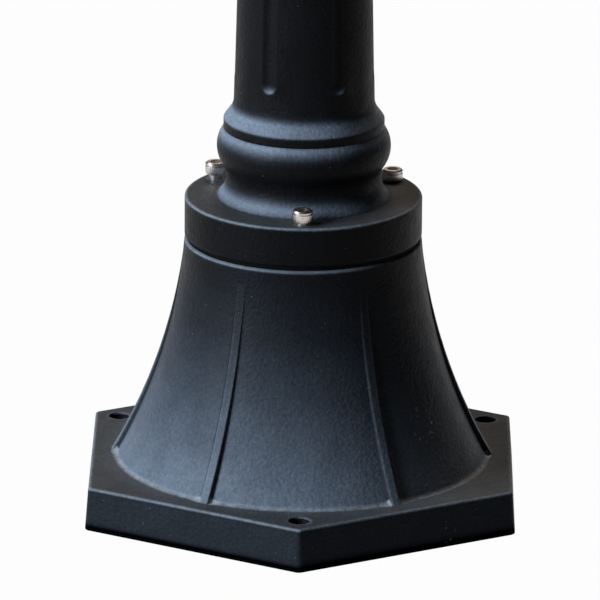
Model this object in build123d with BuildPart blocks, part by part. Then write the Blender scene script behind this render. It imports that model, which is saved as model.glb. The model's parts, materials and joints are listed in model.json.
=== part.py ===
from build123d import *
from math import cos, hypot, radians, sin, sqrt, tan
import os

# Garden lamp post: ribbed bell foot, fluted shaft and hexagonal lantern.
# Millimetres, +Z up, origin on the ground at the post's axis. A corner of the foot plate points to -Y.

# Layout around the axis, angles in degrees from +X
side_count = 6
fixing_count = 3
front = -90.0
corner_turn = 180 / side_count

# Fits
slide_gap = 0.3
thread_gap = 0.05
hole_gap = 0.3

# Foot plate
plate_corner_radius = 120.8
plate_height = 21.5
plate_draft = 4.2
plate_corner_round = 3.5
plate_edge_round = 1.2
plate_foot_round = 0.8
plate_wall = 6.0
plate_top_wall = 7.0
anchor_corner_distance = 15.6
anchor_hole_radius = 5.25
anchor_boss_wall = 8.0

# Bell and its screw deck
bell_ledge = 12.2
bell_rim_height = 132.1
bell_flare_radius = 270.0
bell_wall = 5.0
bell_foot_fillet = 2.5
bell_rim_round = 0.8
deck_thickness = 12.0
deck_land = 12.1

# Ribs that run down the bell
rib_width = 4.2
rib_side_slope = 25.0
rib_depth = 5.0
rib_rise = 4.5
rib_root = 3.0
rib_top_gap = 9.0
rib_flare_extra = 4.0

# Flange joint and its screws
gasket_thickness = 2.5
gasket_inset = 1.2
flange_thickness = 19.0
flange_edge_round = 1.0
flange_screw_radius = 3.0
flange_screw_head_radius = 5.0
flange_screw_head_height = 6.0
flange_screw_head_chamfer = 0.6
flange_screw_socket_flats = 5.0
flange_screw_socket_depth = 3.0
flange_screw_engagement = 10.0
flange_screw_head_gap = 2.7
flange_screw_edge_distance = 7.85
# The screws at the front and the back left stand a little out of their seats, as on the photographed post
flange_screw_lifts = (1.4, 0.0, 2.8)

# Turned mouldings of the column foot
waist_rise = 10.4
torus_rise = 15.1
seat_rise = 9.1
waist_draw = 1.5
torus_swell = 3.2
cavetto_flare = 4.7
moulding_turn = 0.4
foot_wall = 6.0
foot_web = 12.0
spigot_height = 11.0

# Fluted shaft
shaft_foot_radius = 34.25
shaft_top_radius = 24.3
shaft_length = 438.0
shaft_wall = 5.0
shaft_ring_step = 4.95
shaft_ring_height = 4.6
shaft_shoulder_height = 10.2
shoulder_turn_step = 2.35
shoulder_turn_drop = 6.6
top_ring_step = 4.2
top_ring_height = 5.0
top_shoulder_height = 6.0
flute_width = 8.0
flute_depth = 1.4
flute_foot_gap = 10.0
flute_top_gap = 14.0

# Capital
capital_torus_rise = 7.0
capital_torus_swell = 2.6
capital_waist_rise = 11.0
capital_waist_draw = 1.6
capital_flare_rise = 24.0
capital_flare = 17.0
capital_disc_step = 2.0
capital_disc_height = 8.0
capital_bore_radius = 14.0
capital_spigot_height = 10.0

# Wiring tube with its nuts and washers
tube_radius = 5.0
tube_bore_radius = 3.5
tube_tail = 6.0
tube_head = 12.0
nut_flats = 17.0
nut_height = 5.0
washer_radius = 10.0
washer_thickness = 1.6

# Lantern cage
lantern_foot_radius = 66.0
lantern_top_radius = 98.0
lantern_height = 190.0
floor_thickness = 8.0
floor_lip = 4.0
floor_edge_chamfer = 2.0
curb_height = 6.0
curb_wall = 3.0
drain_radius = 2.5
drain_circle_radius = 35.0
bar_flange_width = 12.0
bar_flange_thickness = 3.0
bar_web_width = 6.0
bar_web_depth = 9.0
glass_thickness = 3.0
ring_thickness = 8.0
ring_lip = 5.0
ring_width = 21.0
bar_screw_radius = 1.5
bar_screw_head_radius = 2.75
bar_screw_head_height = 2.0
bar_screw_engagement = 8.0
bar_screw_setback = 8.0
clip_width = 12.0
clip_thickness = 1.0
clip_leg = 12.0
clip_foot = 7.0

# Roof, cap and finial
roof_skirt = 6.0
roof_drip = 3.0
roof_eave_rise = 3.0
roof_rise = 75.0
roof_flare_radius = 150.0
roof_top_flat = 20.0
roof_top_wall = 10.0
roof_shell = 6.0
roof_ledge = 3.2
roof_screw_radius = 2.0
roof_screw_head_radius = 3.5
roof_screw_head_height = 2.4
roof_screw_engagement = 10.0
cap_neck_radius = 12.0
cap_neck_height = 8.0
cap_brim_radius = 22.0
cap_brim_height = 3.0
cap_dome_height = 9.0
cap_dome_radius = 22.0
finial_stud_radius = 3.0
finial_stud_engagement = 8.0
finial_collar_radius = 7.0
finial_stem_radius = 5.0
finial_stem_height = 7.0
finial_ball_radius = 11.0
finial_spike_height = 20.0

# Lampholder and bulb
holder_base_radius = 14.0
holder_base_height = 12.0
holder_shoulder_height = 5.0
holder_radius = 20.0
holder_cup_height = 30.0
shell_radius = 14.7
shell_wall = 0.8
shell_height = 26.0
contact_radius = 6.0
contact_height = 2.5
bulb_cap_gap = 0.5
bulb_cap_height = 26.0
bulb_radius = 30.0
bulb_shoulder_angle = 40.0

# Terminal block and earth screw under the deck
block_length = 34.0
block_width = 16.0
block_height = 14.0
block_setback = 4.0
pole_count = 3
pole_pitch = 11.0
pole_screw_radius = 1.8
pole_screw_offset = 4.5
pole_screw_length = 5.0
wire_hole_radius = 1.6
fixing_radius = 1.5
fixing_engagement = 7.0
earth_angle = -30.0
earth_setback = 7.0
earth_screw_radius = 2.5
earth_head_radius = 4.75
earth_head_height = 3.3
earth_washer_radius = 5.5
earth_washer_thickness = 1.0
earth_engagement = 8.0

# Radii that follow from the sizes above
flat_ratio = cos(radians(corner_turn))
corner_ratio = tan(radians(corner_turn))
shaft_ring_radius = shaft_foot_radius + shaft_ring_step
torus_radius = shaft_ring_radius + torus_swell
waist_radius = shaft_ring_radius - waist_draw
cavetto_radius = waist_radius + cavetto_flare
flange_screw_circle = cavetto_radius + flange_screw_head_gap + flange_screw_head_radius
rim_radius = flange_screw_circle + flange_screw_edge_distance
deck_opening_radius = flange_screw_circle - deck_land
block_circle_radius = deck_opening_radius + block_setback
earth_circle_radius = deck_opening_radius + earth_setback
anchor_circle_radius = plate_corner_radius - anchor_corner_distance
bell_foot_radius = plate_corner_radius * flat_ratio - plate_height * tan(radians(plate_draft)) - bell_ledge
shaft_bore_foot = shaft_foot_radius - shaft_wall
shaft_bore_top = shaft_top_radius - shaft_wall
top_ring_radius = shaft_top_radius + top_ring_step
tube_hole_radius = tube_radius + hole_gap

# Heights that follow from the sizes above
deck_bottom = bell_rim_height - deck_thickness
flange_bottom = bell_rim_height + gasket_thickness
flange_top = flange_bottom + flange_thickness
waist_z = flange_top + waist_rise
torus_z = waist_z + torus_rise
seat_z = torus_z + seat_rise
web_bottom = seat_z - foot_web
ring_top = seat_z + shaft_ring_height
shaft_start = ring_top + shaft_shoulder_height
shaft_end = shaft_start + shaft_length
capital_seat = shaft_end + top_shoulder_height + top_ring_height
capital_torus_z = capital_seat + capital_torus_rise
capital_waist_z = capital_torus_z + capital_waist_rise
capital_flare_z = capital_waist_z + capital_flare_rise
floor_bottom = capital_flare_z + capital_disc_height
floor_top = floor_bottom + floor_thickness
ring_bottom = floor_top + lantern_height
ring_top_z = ring_bottom + ring_thickness
roof_top = ring_top_z + roof_rise
cap_top = roof_top + cap_neck_height + cap_brim_height + cap_dome_height
holder_bottom = floor_top + washer_thickness + nut_height
cup_floor = holder_bottom + holder_base_height + holder_shoulder_height
holder_top = cup_floor + holder_cup_height
bulb_cap_bottom = cup_floor + contact_height
bulb_cap_top = bulb_cap_bottom + bulb_cap_height

os.makedirs("parts", exist_ok=True)


def save(piece, name):
    """Label a finished piece and write it as its own STEP file."""
    piece.part.label = name
    export_step(piece.part, f"parts/{name}.step")


def flare_radius_at(z, low, high, radius):
    """Radius at height z of the hollow arc of the given radius between two (radius, height) points."""
    run, rise = low[0] - high[0], high[1] - low[1]
    chord = hypot(run, rise)
    reach = sqrt(radius**2 - (chord / 2) ** 2)
    centre_r = (low[0] + high[0]) / 2 + reach * rise / chord
    centre_z = (low[1] + high[1]) / 2 + reach * run / chord
    return centre_r - sqrt(radius**2 - (centre_z - z) ** 2)


def polar(radius, angle):
    """Point at a radius and an angle from +X."""
    return (radius * cos(radians(angle)), radius * sin(radians(angle)))


def turned_plane(z, angle, radius=0):
    """Horizontal plane at height z, out at the given radius, whose x axis points at the given angle."""
    return Plane((*polar(radius, angle), z), x_dir=(*polar(1, angle), 0), z_dir=(0, 0, 1))


def outward_plane(z, angle, radius):
    """Upright plane at height z and the given radius, facing outwards at the given angle."""
    return Plane((*polar(radius, angle), z), x_dir=(0, 0, 1), z_dir=(*polar(1, angle), 0))


# Rib: drafted strip whose crest leaves the bell near the rim and stands proud at the foot
bell_foot = (bell_foot_radius, plate_height)
bell_rim = (rim_radius, bell_rim_height)
rib_top_z = bell_rim_height - rib_top_gap
rib_foot = (bell_foot_radius + rib_rise, plate_height - rib_root)
rib_top = (flare_radius_at(rib_top_z, bell_foot, bell_rim, bell_flare_radius), rib_top_z)
rib_root_width = rib_width + 2 * rib_depth * tan(radians(rib_side_slope))

with BuildPart() as rib:
    with BuildLine(Plane.XZ) as rib_crest:
        crest = RadiusArc(rib_foot, rib_top, bell_flare_radius + rib_flare_extra)
    with BuildSketch(Plane(crest @ 0, x_dir=(0, 1, 0), z_dir=crest % 0)):
        with BuildLine():
            Polyline(
                (-rib_width / 2, 0),
                (rib_width / 2, 0),
                (rib_root_width / 2, rib_depth),
                (-rib_root_width / 2, rib_depth),
                close=True,
            )
        make_face()
    sweep(path=rib_crest.line)

# Base casting: drafted hexagonal plate, ribbed bell and screw deck, cored out from below
with BuildPart() as base_casting:
    with BuildSketch() as plate_outline:
        RegularPolygon(plate_corner_radius, side_count, rotation=corner_turn)
        fillet(plate_outline.vertices(), plate_corner_round)
    extrude(amount=plate_height, taper=plate_draft)
    fillet(base_casting.faces().sort_by(Axis.Z)[-1].edges(), plate_edge_round)
    fillet(base_casting.faces().sort_by(Axis.Z)[0].edges(), plate_foot_round)
    with BuildSketch(Plane.XZ) as bell_section:
        with BuildLine():
            Polyline(
                bell_rim,
                (0, bell_rim_height),
                (0, plate_height - rib_root),
                (bell_foot_radius + rib_rise, plate_height - rib_root),
                (bell_foot_radius + rib_rise, plate_height),
                bell_foot,
            )
            RadiusArc(bell_foot, bell_rim, bell_flare_radius)
        make_face()
        fillet(bell_section.vertices().sort_by_distance(bell_foot)[0], bell_foot_fillet)
        chamfer(bell_section.vertices().sort_by_distance(bell_rim)[0], bell_rim_round)
    revolve(axis=Axis.Z)
    with PolarLocations(0, side_count):
        add(rib.part)
    with BuildSketch():
        RegularPolygon(plate_corner_radius - plate_wall / flat_ratio, side_count, rotation=corner_turn)
        with PolarLocations(anchor_circle_radius, fixing_count, start_angle=front):
            Circle(anchor_hole_radius + anchor_boss_wall, mode=Mode.SUBTRACT)
    extrude(amount=plate_height - plate_top_wall, mode=Mode.SUBTRACT)
    with BuildSketch(Plane.XZ):
        with BuildLine():
            core_foot = (bell_foot_radius - bell_wall, plate_height)
            core_top = (
                flare_radius_at(deck_bottom, bell_foot, bell_rim, bell_flare_radius) - bell_wall,
                deck_bottom,
            )
            Polyline(
                core_top,
                (deck_opening_radius, deck_bottom),
                (deck_opening_radius, bell_rim_height),
                (0, bell_rim_height),
                (0, 0),
                (bell_foot_radius - bell_wall, 0),
                core_foot,
            )
            RadiusArc(core_foot, core_top, bell_flare_radius + bell_wall)
        make_face()
    revolve(axis=Axis.Z, mode=Mode.SUBTRACT)
    with BuildSketch():
        with PolarLocations(anchor_circle_radius, fixing_count, start_angle=front):
            Circle(anchor_hole_radius)
    extrude(amount=plate_height, mode=Mode.SUBTRACT)
    with BuildSketch(Plane.XY.offset(deck_bottom)):
        with PolarLocations(flange_screw_circle, fixing_count, start_angle=front):
            Circle(flange_screw_radius + thread_gap)
        with Locations(polar(earth_circle_radius, earth_angle)):
            Circle(earth_screw_radius + thread_gap)
        with Locations((0, block_circle_radius)):
            with GridLocations(pole_pitch, 0, 2, 1):
                Circle(fixing_radius + thread_gap)
    extrude(amount=deck_thickness, mode=Mode.SUBTRACT)
save(base_casting, "base_casting")

# Gasket in the joint between the bell and the flange
with BuildPart() as flange_gasket:
    with BuildSketch(Plane.XY.offset(bell_rim_height)):
        Circle(rim_radius - gasket_inset)
        Circle(deck_opening_radius, mode=Mode.SUBTRACT)
        with PolarLocations(flange_screw_circle, fixing_count, start_angle=front):
            Circle(flange_screw_radius + hole_gap, mode=Mode.SUBTRACT)
    extrude(amount=gasket_thickness)
save(flange_gasket, "flange_gasket")

# Column foot: flange disc, cavetto, waist and torus, with a spigot that centres the shaft
waist = (waist_radius, waist_z)
torus = (torus_radius, torus_z)
neck_turn = (
    waist_radius + moulding_turn * (torus_radius - waist_radius),
    waist_z + moulding_turn * torus_rise,
)

with BuildPart() as column_foot:
    with BuildSketch(Plane.XZ) as foot_section:
        with BuildLine():
            TangentArc(waist, (cavetto_radius, flange_top), tangent=(0, -1))
            neck = TangentArc(waist, neck_turn, tangent=(0, 1))
            TangentArc(neck_turn, torus, tangent=neck % 1)
            TangentArc(torus, (shaft_ring_radius, seat_z), tangent=(0, 1))
            Polyline(
                (shaft_ring_radius, seat_z),
                (shaft_bore_foot - slide_gap, seat_z),
                (shaft_bore_foot - slide_gap, seat_z + spigot_height),
                (tube_hole_radius, seat_z + spigot_height),
                (tube_hole_radius, web_bottom),
                (waist_radius - foot_wall, web_bottom),
                (waist_radius - foot_wall, flange_bottom),
                (rim_radius, flange_bottom),
                (rim_radius, flange_top),
                (cavetto_radius, flange_top),
            )
        make_face()
        fillet(foot_section.vertices().sort_by_distance((rim_radius, flange_top))[0], flange_edge_round)
    revolve(axis=Axis.Z)
    with BuildSketch(Plane.XY.offset(flange_bottom)):
        with PolarLocations(flange_screw_circle, fixing_count, start_angle=front):
            Circle(flange_screw_radius + hole_gap)
    extrude(amount=flange_thickness, mode=Mode.SUBTRACT)
save(column_foot, "column_foot")

# Flange screws: socket head cap screws through the flange and gasket into the deck
flange_screw_length = flange_thickness + gasket_thickness + flange_screw_engagement

with BuildPart() as flange_screws:
    for index, lift in enumerate(flange_screw_lifts):
        angle = front + index * 360 / fixing_count
        centre = polar(flange_screw_circle, angle)
        head_plane = Plane.XY.offset(flange_top + lift)
        with BuildSketch(head_plane):
            with Locations(centre):
                Circle(flange_screw_head_radius)
        extrude(amount=flange_screw_head_height)
        chamfer(flange_screws.faces(Select.LAST).sort_by(Axis.Z)[-1].edges(), flange_screw_head_chamfer)
        with BuildSketch(head_plane):
            with Locations(centre):
                Circle(flange_screw_radius)
        extrude(amount=-flange_screw_length)
        with BuildSketch(head_plane.offset(flange_screw_head_height)):
            with Locations(centre):
                RegularPolygon(flange_screw_socket_flats / 2, side_count, major_radius=False)
        extrude(amount=-flange_screw_socket_depth, mode=Mode.SUBTRACT)
save(flange_screws, "flange_screws")

# Shaft: ring collar, shoulder, tapered column with blind flutes and a small ring at the top
shoulder_turn = (shaft_foot_radius + shoulder_turn_step, shaft_start - shoulder_turn_drop)
taper = (shaft_foot_radius - shaft_top_radius) / shaft_length
flute_cut_radius = (flute_width / 2) ** 2 / 2 / (flute_depth - (flute_width / 2) ** 2 / 2 / shaft_foot_radius)
flute_start = shaft_start + flute_foot_gap + flute_width / 2
flute_length = shaft_end - flute_top_gap - flute_width / 2 - flute_start
flute_axis_offset = flute_cut_radius - flute_depth
flute_foot_radius = shaft_foot_radius - taper * (flute_start - shaft_start) + flute_axis_offset
flute_plane = Plane((flute_foot_radius, 0, flute_start), x_dir=(1, 0, taper), z_dir=(-taper, 0, 1))

with BuildPart(flute_plane) as flute:
    Cylinder(flute_cut_radius, flute_length, align=(Align.CENTER, Align.CENTER, Align.MIN))
    with Locations((0, 0, 0), (0, 0, flute_length)):
        Sphere(flute_cut_radius)

with BuildPart() as shaft:
    with BuildSketch(Plane.XZ):
        with BuildLine():
            foot_curve = TangentArc((shaft_foot_radius, shaft_start), shoulder_turn, tangent=(0, -1))
            TangentArc(shoulder_turn, (shaft_ring_radius, ring_top), tangent=foot_curve % 1)
            Polyline(
                (shaft_ring_radius, ring_top),
                (shaft_ring_radius, seat_z),
                (shaft_bore_foot, seat_z),
                (shaft_bore_foot, shaft_start),
                (shaft_bore_top, shaft_end),
                (shaft_bore_top, capital_seat),
                (top_ring_radius, capital_seat),
                (top_ring_radius, shaft_end + top_shoulder_height),
            )
            TangentArc(
                (shaft_top_radius, shaft_end),
                (top_ring_radius, shaft_end + top_shoulder_height),
                tangent=(0, 1),
            )
            Line((shaft_foot_radius, shaft_start), (shaft_top_radius, shaft_end))
        make_face()
    revolve(axis=Axis.Z)
    with PolarLocations(0, side_count):
        add(flute.part, mode=Mode.SUBTRACT)
save(shaft, "shaft")

# Capital: torus, waist and flared cup under the disc that carries the lantern
capital_torus = (top_ring_radius + capital_torus_swell, capital_torus_z)
capital_waist = (top_ring_radius - capital_waist_draw, capital_waist_z)
capital_turn = ((capital_torus[0] + capital_waist[0]) / 2, (capital_torus_z + capital_waist_z) / 2)
capital_lip_radius = capital_waist[0] + capital_flare
capital_disc_radius = capital_lip_radius + capital_disc_step

with BuildPart() as capital:
    with BuildSketch(Plane.XZ):
        with BuildLine():
            TangentArc(capital_torus, (top_ring_radius, capital_seat), tangent=(0, -1))
            cup_foot = TangentArc(capital_torus, capital_turn, tangent=(0, 1))
            TangentArc(capital_turn, capital_waist, tangent=cup_foot % 1)
            TangentArc(capital_waist, (capital_lip_radius, capital_flare_z), tangent=(0, 1))
            Polyline(
                (capital_lip_radius, capital_flare_z),
                (capital_disc_radius, capital_flare_z),
                (capital_disc_radius, floor_bottom),
                (tube_hole_radius, floor_bottom),
                (tube_hole_radius, capital_flare_z),
                (capital_bore_radius, capital_flare_z),
                (capital_bore_radius, capital_seat - capital_spigot_height),
                (shaft_bore_top - slide_gap, capital_seat - capital_spigot_height),
                (shaft_bore_top - slide_gap, capital_seat),
                (top_ring_radius, capital_seat),
            )
        make_face()
    revolve(axis=Axis.Z)
save(capital, "capital")

# Wiring tube: threaded steel tube that clamps foot, shaft, capital and lantern floor together
tube_bottom = web_bottom - washer_thickness - nut_height - tube_tail
tube_top = holder_bottom + tube_head

with BuildPart() as wiring_tube:
    with BuildSketch(Plane.XY.offset(tube_bottom)):
        Circle(tube_radius)
        Circle(tube_bore_radius, mode=Mode.SUBTRACT)
    extrude(amount=tube_top - tube_bottom)
save(wiring_tube, "wiring_tube")

washer_places = {"tube_lower_washer": web_bottom - washer_thickness, "tube_upper_washer": floor_top}
for name, z in washer_places.items():
    with BuildPart() as tube_washer:
        with BuildSketch(Plane.XY.offset(z)):
            Circle(washer_radius)
            Circle(tube_hole_radius, mode=Mode.SUBTRACT)
        extrude(amount=washer_thickness)
    save(tube_washer, name)

nut_places = {
    "tube_lower_nut": web_bottom - washer_thickness - nut_height,
    "tube_upper_nut": floor_top + washer_thickness,
}
for name, z in nut_places.items():
    with BuildPart() as tube_nut:
        with BuildSketch(Plane.XY.offset(z)):
            RegularPolygon(nut_flats / 2, side_count, major_radius=False)
            Circle(tube_radius + thread_gap, mode=Mode.SUBTRACT)
        extrude(amount=nut_height)
    save(tube_nut, name)

# Lantern floor: hexagonal tray with a curb behind the panes and drain holes
pane_outer_offset = bar_flange_thickness + slide_gap
pane_inner_offset = pane_outer_offset + glass_thickness
curb_radius = lantern_foot_radius * flat_ratio - pane_inner_offset - slide_gap
lower_screw_circle = lantern_foot_radius - bar_screw_setback
upper_screw_circle = lantern_top_radius - bar_screw_setback

with BuildPart() as lantern_floor:
    with BuildSketch(Plane.XY.offset(floor_bottom)):
        RegularPolygon(lantern_foot_radius + floor_lip, side_count, rotation=corner_turn)
    extrude(amount=floor_thickness)
    chamfer(lantern_floor.faces().sort_by(Axis.Z)[0].edges(), floor_edge_chamfer)
    with BuildSketch(Plane.XY.offset(floor_top)):
        Circle(curb_radius)
        Circle(curb_radius - curb_wall, mode=Mode.SUBTRACT)
    extrude(amount=curb_height)
    with BuildSketch(Plane.XY.offset(floor_bottom)):
        Circle(tube_hole_radius)
        with PolarLocations(drain_circle_radius, fixing_count):
            Circle(drain_radius)
        with PolarLocations(lower_screw_circle, side_count, start_angle=front):
            Circle(bar_screw_radius + hole_gap)
    extrude(amount=floor_thickness, mode=Mode.SUBTRACT)
save(lantern_floor, "lantern_floor")

# Corner bars: leaning T bars whose flanges lap the panes and whose webs part them
bar_inner_corner = bar_flange_thickness / flat_ratio
bar_lean = (lantern_top_radius - lantern_foot_radius) / lantern_height
flange_back = bar_flange_width / 2 + bar_flange_thickness * flat_ratio
flange_reach = bar_flange_width * flat_ratio - bar_flange_thickness / 2
bar_half_section = (
    (0, 0),
    (-bar_flange_width / 2, bar_flange_width * flat_ratio),
    (-flange_back, flange_reach),
    (-bar_inner_corner - bar_web_width / 2 * corner_ratio, bar_web_width / 2),
    (-bar_inner_corner - bar_web_depth, bar_web_width / 2),
    (-bar_inner_corner - bar_web_depth, 0),
)

for index in range(side_count):
    angle = front + index * 360 / side_count
    lean = Vector(*polar(bar_lean, angle), 1)
    with BuildPart() as corner_bar:
        with BuildSketch(turned_plane(floor_top, angle, lantern_foot_radius)):
            with BuildLine():
                Polyline(*bar_half_section, close=True)
            make_face()
            mirror(about=Plane.XZ)
        extrude(amount=lantern_height * lean.length, dir=lean.normalized())
        with BuildSketch(turned_plane(floor_top, angle, lower_screw_circle)):
            Circle(bar_screw_radius + thread_gap)
        extrude(amount=bar_screw_engagement, mode=Mode.SUBTRACT)
        with BuildSketch(turned_plane(ring_bottom, angle, upper_screw_circle)):
            Circle(bar_screw_radius + thread_gap)
        extrude(amount=-bar_screw_engagement, mode=Mode.SUBTRACT)
    save(corner_bar, f"corner_bar_{index + 1}")

# Glass panes: leaning trapezoids between neighbouring bars
pane_end_gap = corner_ratio * (pane_inner_offset + bar_web_width) + slide_gap
side_slope = bar_lean * flat_ratio
slope_length = hypot(1, side_slope)
pane_height = lantern_height - slide_gap - glass_thickness * side_slope
pane_foot_half = lantern_foot_radius / 2 - pane_end_gap
pane_top_half = (lantern_foot_radius + bar_lean * pane_height) / 2 - pane_end_gap
pane_foot_flat = lantern_foot_radius * flat_ratio - pane_outer_offset

for index in range(side_count):
    angle = front + corner_turn + index * 360 / side_count
    pane_plane = Plane(
        (*polar(pane_foot_flat, angle), floor_top),
        x_dir=(*polar(1, angle + 90), 0),
        z_dir=(*polar(1, angle), -side_slope),
    )
    with BuildPart() as glass_pane:
        with BuildSketch(pane_plane):
            with BuildLine():
                Polyline(
                    (-pane_foot_half, 0),
                    (pane_foot_half, 0),
                    (pane_top_half, pane_height * slope_length),
                    (-pane_top_half, pane_height * slope_length),
                    close=True,
                )
            make_face()
        extrude(amount=-glass_thickness)
    save(glass_pane, f"glass_pane_{index + 1}")

# Lantern ring: hexagonal frame that ties the bars together and carries the roof
ring_flat = (lantern_top_radius + ring_lip) * flat_ratio
roof_screw_z = ring_bottom + ring_thickness / 2

with BuildPart() as lantern_ring:
    with BuildSketch(Plane.XY.offset(ring_bottom)):
        RegularPolygon(lantern_top_radius + ring_lip, side_count, rotation=corner_turn)
        RegularPolygon(
            lantern_top_radius + ring_lip - ring_width, side_count, rotation=corner_turn, mode=Mode.SUBTRACT
        )
        with PolarLocations(upper_screw_circle, side_count, start_angle=front):
            Circle(bar_screw_radius + hole_gap, mode=Mode.SUBTRACT)
    extrude(amount=ring_thickness)
    for index in range(fixing_count):
        with BuildSketch(outward_plane(roof_screw_z, index * 360 / fixing_count, ring_flat)):
            Circle(roof_screw_radius + thread_gap)
        extrude(amount=-roof_screw_engagement, mode=Mode.SUBTRACT)
save(lantern_ring, "lantern_ring")

# Bar screws: from below through the floor, and from above through the ring
bar_screw_sets = (
    ("lower_bar_screws", floor_bottom, lower_screw_circle, floor_thickness, 1),
    ("upper_bar_screws", ring_top_z, upper_screw_circle, ring_thickness, -1),
)
for name, z, circle, grip, way in bar_screw_sets:
    with BuildPart() as bar_screws:
        with BuildSketch(Plane.XY.offset(z)):
            with PolarLocations(circle, side_count, start_angle=front):
                Circle(bar_screw_head_radius)
        extrude(amount=-way * bar_screw_head_height)
        with BuildSketch(Plane.XY.offset(z)):
            with PolarLocations(circle, side_count, start_angle=front):
                Circle(bar_screw_radius)
        extrude(amount=way * (grip + bar_screw_engagement - slide_gap))
    save(bar_screws, name)

# Pane clips: bent strips under the ring that hold the panes against the bars
clip_top_flat = lantern_top_radius * flat_ratio - pane_inner_offset - slide_gap
clip_low_flat = clip_top_flat - clip_leg * side_slope

with BuildPart() as pane_clips:
    for index in range(side_count):
        angle = index * 360 / side_count
        lean = Vector(*polar(side_slope, angle), 1)
        with BuildSketch(turned_plane(ring_bottom - clip_leg, angle, clip_low_flat)):
            Rectangle(clip_thickness, clip_width, align=(Align.MAX, Align.CENTER))
        extrude(amount=clip_leg * lean.length, dir=lean.normalized())
        with BuildSketch(turned_plane(ring_bottom, angle, clip_top_flat)):
            Rectangle(clip_foot, clip_width, align=(Align.MAX, Align.CENTER))
        extrude(amount=-clip_thickness)
save(pane_clips, "pane_clips")

# Roof: hollow six-sided roof with hollow-curved slopes, made as the overlap of three prisms
eave_flat = ring_flat + slide_gap + roof_skirt
eave = (eave_flat, ring_top_z + roof_eave_rise)
crown = (roof_top_flat, roof_top)
void_eave = (ring_flat - roof_ledge, ring_top_z)
void_crown = (roof_top_flat - roof_shell, roof_top - roof_top_wall)
roof_reach = 2 * eave_flat

with BuildPart() as roof_void:
    for index in range(fixing_count):
        with BuildSketch(Plane.XZ.rotated((0, 0, index * 180 / fixing_count))):
            with BuildLine():
                Polyline(
                    void_crown,
                    (0, void_crown[1]),
                    (0, ring_bottom - roof_drip),
                    (ring_flat + slide_gap, ring_bottom - roof_drip),
                    (ring_flat + slide_gap, ring_top_z),
                    void_eave,
                )
                RadiusArc(void_eave, void_crown, roof_flare_radius)
            make_face()
            mirror(about=Plane.YZ)
        extrude(amount=roof_reach, both=True, mode=Mode.INTERSECT if index else Mode.ADD)

with BuildPart() as roof:
    for index in range(fixing_count):
        with BuildSketch(Plane.XZ.rotated((0, 0, index * 180 / fixing_count))):
            with BuildLine():
                Polyline(
                    crown,
                    (0, roof_top),
                    (0, ring_bottom - roof_drip),
                    (eave_flat, ring_bottom - roof_drip),
                    eave,
                )
                RadiusArc(eave, crown, roof_flare_radius)
            make_face()
            mirror(about=Plane.YZ)
        extrude(amount=roof_reach, both=True, mode=Mode.INTERSECT if index else Mode.ADD)
    add(roof_void.part, mode=Mode.SUBTRACT)
    for index in range(fixing_count):
        with BuildSketch(outward_plane(roof_screw_z, index * 360 / fixing_count, eave_flat)):
            Circle(roof_screw_radius + hole_gap)
        extrude(amount=-roof_skirt - slide_gap, mode=Mode.SUBTRACT)
    with BuildSketch(Plane.XY.offset(roof_top)):
        Circle(finial_stud_radius + thread_gap)
    extrude(amount=-roof_top_wall, mode=Mode.SUBTRACT)
save(roof, "roof")

# Roof screws: through the roof's skirt into the ring
with BuildPart() as roof_screws:
    for index in range(fixing_count):
        screw_plane = outward_plane(roof_screw_z, index * 360 / fixing_count, eave_flat)
        with BuildSketch(screw_plane):
            Circle(roof_screw_head_radius)
        extrude(amount=roof_screw_head_height)
        with BuildSketch(screw_plane):
            Circle(roof_screw_radius)
        extrude(amount=-roof_skirt - roof_screw_engagement)
save(roof_screws, "roof_screws")

# Roof cap: neck and domed brim on the roof's crown
brim_bottom = roof_top + cap_neck_height
brim_top = brim_bottom + cap_brim_height

with BuildPart() as roof_cap:
    with BuildSketch(Plane.XZ):
        with BuildLine():
            Polyline(
                (finial_collar_radius, cap_top),
                (finial_stud_radius + hole_gap, cap_top),
                (finial_stud_radius + hole_gap, roof_top),
                (cap_neck_radius, roof_top),
                (cap_neck_radius, brim_bottom),
                (cap_brim_radius, brim_bottom),
                (cap_brim_radius, brim_top),
            )
            RadiusArc((cap_brim_radius, brim_top), (finial_collar_radius, cap_top), -cap_dome_radius)
        make_face()
    revolve(axis=Axis.Z)
save(roof_cap, "roof_cap")

# Finial: stud, stem, ball and spike
ball_z = cap_top + finial_stem_height + sqrt(finial_ball_radius**2 - finial_stem_radius**2)
ball_top = (finial_stem_radius, ball_z + sqrt(finial_ball_radius**2 - finial_stem_radius**2))
spike_tip_z = ball_top[1] + finial_spike_height

with BuildPart() as finial:
    with BuildSketch(Plane.XZ):
        with BuildLine():
            Polyline(
                (finial_stem_radius, cap_top + finial_stem_height),
                (finial_collar_radius, cap_top),
                (finial_stud_radius, cap_top),
                (finial_stud_radius, roof_top - finial_stud_engagement),
                (0, roof_top - finial_stud_engagement),
                (0, spike_tip_z),
                ball_top,
            )
            ThreePointArc(
                (finial_stem_radius, cap_top + finial_stem_height),
                (finial_ball_radius, ball_z),
                ball_top,
            )
        make_face()
    revolve(axis=Axis.Z)
save(finial, "finial")

# Lampholder: ceramic body, threaded shell and centre contact
with BuildPart() as lampholder_body:
    with BuildSketch(Plane.XZ):
        with BuildLine():
            Polyline(
                (tube_radius + thread_gap, holder_bottom),
                (holder_base_radius, holder_bottom),
                (holder_base_radius, holder_bottom + holder_base_height),
                (holder_radius, cup_floor),
                (holder_radius, holder_top),
                (shell_radius + slide_gap, holder_top),
                (shell_radius + slide_gap, cup_floor),
                (0, cup_floor),
                (0, tube_top),
                (tube_radius + thread_gap, tube_top),
                close=True,
            )
        make_face()
    revolve(axis=Axis.Z)
save(lampholder_body, "lampholder_body")

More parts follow.
